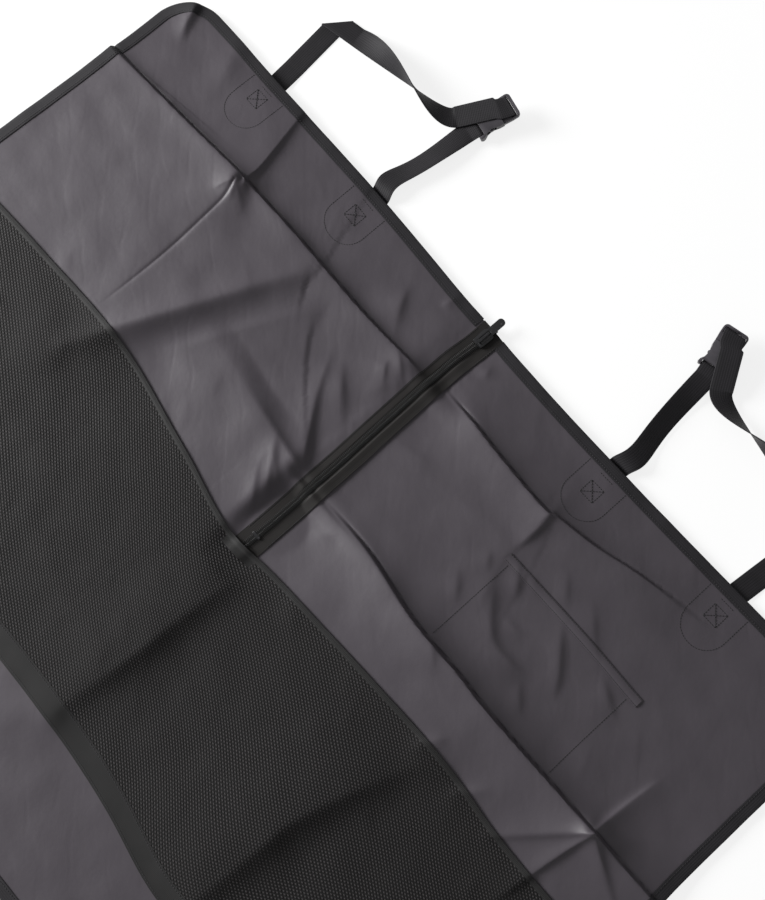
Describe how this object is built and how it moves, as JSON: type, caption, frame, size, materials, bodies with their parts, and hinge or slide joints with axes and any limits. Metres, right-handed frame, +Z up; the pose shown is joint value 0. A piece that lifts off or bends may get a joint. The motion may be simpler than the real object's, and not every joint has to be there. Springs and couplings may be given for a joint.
{
  "type": "flat protective cover with strap loops",
  "caption": "Flat woven cover lying underside up, with a zipped back, a grip-mesh seat, a pocket and buckled webbing loops that hold it to posts or headrests.",
  "frame": {"origin": "on the floor under the middle of the footprint, strap loops included", "axes": "+X along the strapped edge, +Y out of that edge towards the straps, +Z up out of the cover's underside"},
  "size_m": [1.08, 0.9518, 0.027],
  "materials": {
    "shell_cloth": "coated woven polyester, dull",
    "lining_cloth": "plain woven polyester",
    "grip_knit": "rubberised open knit",
    "edge_tape": "woven polyester tape",
    "webbing": "ribbed polyester webbing",
    "buckle_plastic": "moulded, satin",
    "zip_coil": "coiled monofilament",
    "zip_metal": "black enamel"
  },
  "bodies": {
    "seat": {"seat_panel": "shell_cloth", "front_panel": "shell_cloth", "binding_seat": "edge_tape", "mesh_seam_hem": "edge_tape", "grip_mesh": "grip_knit", "mesh_front_hem": "edge_tape"},
    "back": {"back_panel_left": "shell_cloth", "back_panel_right": "shell_cloth", "binding_back_left": "edge_tape", "binding_back_right": "edge_tape", "zip_tape_left": "edge_tape", "zip_tape_right": "edge_tape", "zip_coil_left": "zip_coil", "zip_coil_right": "zip_coil", "zip_top_stop_left": "zip_metal", "zip_top_stop_right": "zip_metal", "zip_bottom_stop": "zip_metal", "strap_patch_left_outer": "lining_cloth", "strap_patch_left_inner": "lining_cloth", "strap_patch_right_inner": "lining_cloth", "strap_patch_right_outer": "lining_cloth", "pocket_panel": "lining_cloth", "pocket_band": "shell_cloth"},
    "slider": {"zip_slider": "zip_metal"},
    "puller": {"zip_puller": "zip_metal"},
    "left_loop": {"strap_left_outer": "webbing", "strap_left_inner": "webbing", "buckle_left_socket": "buckle_plastic"},
    "left_plug": {"buckle_left_plug": "buckle_plastic"},
    "left_prong_near": {"buckle_left_prong_near": "buckle_plastic"},
    "left_prong_far": {"buckle_left_prong_far": "buckle_plastic"},
    "right_loop": {"strap_right_inner": "webbing", "strap_right_outer": "webbing", "buckle_right_socket": "buckle_plastic"},
    "right_plug": {"buckle_right_plug": "buckle_plastic"},
    "right_prong_near": {"buckle_right_prong_near": "buckle_plastic"},
    "right_prong_far": {"buckle_right_prong_far": "buckle_plastic"}
  },
  "joints": [
    {"name": "back_fold", "type": "hinge", "parent": "seat", "child": "back", "pos_m": [0, -0.0659, 0.0014], "axis": [-1, 0, 0], "range_deg": [-115, 105], "deforming": ["mesh_seam_hem"]},
    {"name": "zip_slide", "type": "slide", "parent": "back", "child": "slider", "axis": [0, -1, -0.0087], "range_m": [0, 0.308]},
    {"name": "puller_swing", "type": "hinge", "parent": "slider", "child": "puller", "pos_m": [0, 0.26083, 0.01075], "axis": [1, 0, 0], "range_deg": [0, 170]},
    {"name": "left_loop_swing", "type": "hinge", "parent": "back", "child": "left_loop", "pos_m": [0, 0.28409, 0.00216], "axis": [1, 0, 0], "range_deg": [0, 150], "deforming": ["strap_left_inner", "strap_left_outer"]},
    {"name": "left_buckle_release", "type": "slide", "parent": "left_loop", "child": "left_plug", "axis": [0.2202, 0.945, 0.2419], "range_m": [0, 0.03], "deforming": ["buckle_left_prong_near", "buckle_left_prong_far"]},
    {"name": "left_prong_near_press", "type": "hinge", "parent": "left_plug", "child": "left_prong_near", "pos_m": [-0.18956, 0.45525, 0.01337], "axis": [-0.0549, -0.2356, 0.9703], "range_deg": [0, 7], "stiffness_Nm_per_rad": 0.2},
    {"name": "left_prong_far_press", "type": "hinge", "parent": "left_plug", "child": "left_prong_far", "pos_m": [-0.17048, 0.4508, 0.01337], "axis": [-0.0549, -0.2356, 0.9703], "range_deg": [-7, 0], "stiffness_Nm_per_rad": 0.2},
    {"name": "right_loop_swing", "type": "hinge", "parent": "back", "child": "right_loop", "pos_m": [0, 0.28409, 0.00216], "axis": [1, 0, 0], "range_deg": [0, 150], "deforming": ["strap_right_inner", "strap_right_outer"]},
    {"name": "right_buckle_release", "type": "slide", "parent": "right_loop", "child": "right_plug", "axis": [-0.2202, 0.945, 0.2419], "range_m": [0, 0.03], "deforming": ["buckle_right_prong_near", "buckle_right_prong_far"]},
    {"name": "right_prong_near_press", "type": "hinge", "parent": "right_plug", "child": "right_prong_near", "pos_m": [0.17048, 0.4508, 0.01337], "axis": [0.0549, -0.2356, 0.9703], "range_deg": [0, 7], "stiffness_Nm_per_rad": 0.2},
    {"name": "right_prong_far_press", "type": "hinge", "parent": "right_plug", "child": "right_prong_far", "pos_m": [0.18956, 0.45525, 0.01337], "axis": [0.0549, -0.2356, 0.9703], "range_deg": [-7, 0], "stiffness_Nm_per_rad": 0.2}
  ],
  "couplings": [
    {"joint": "left_prong_far_press", "follows": "left_prong_near_press", "ratio": -1},
    {"joint": "right_prong_far_press", "follows": "right_prong_near_press", "ratio": -1}
  ]
}
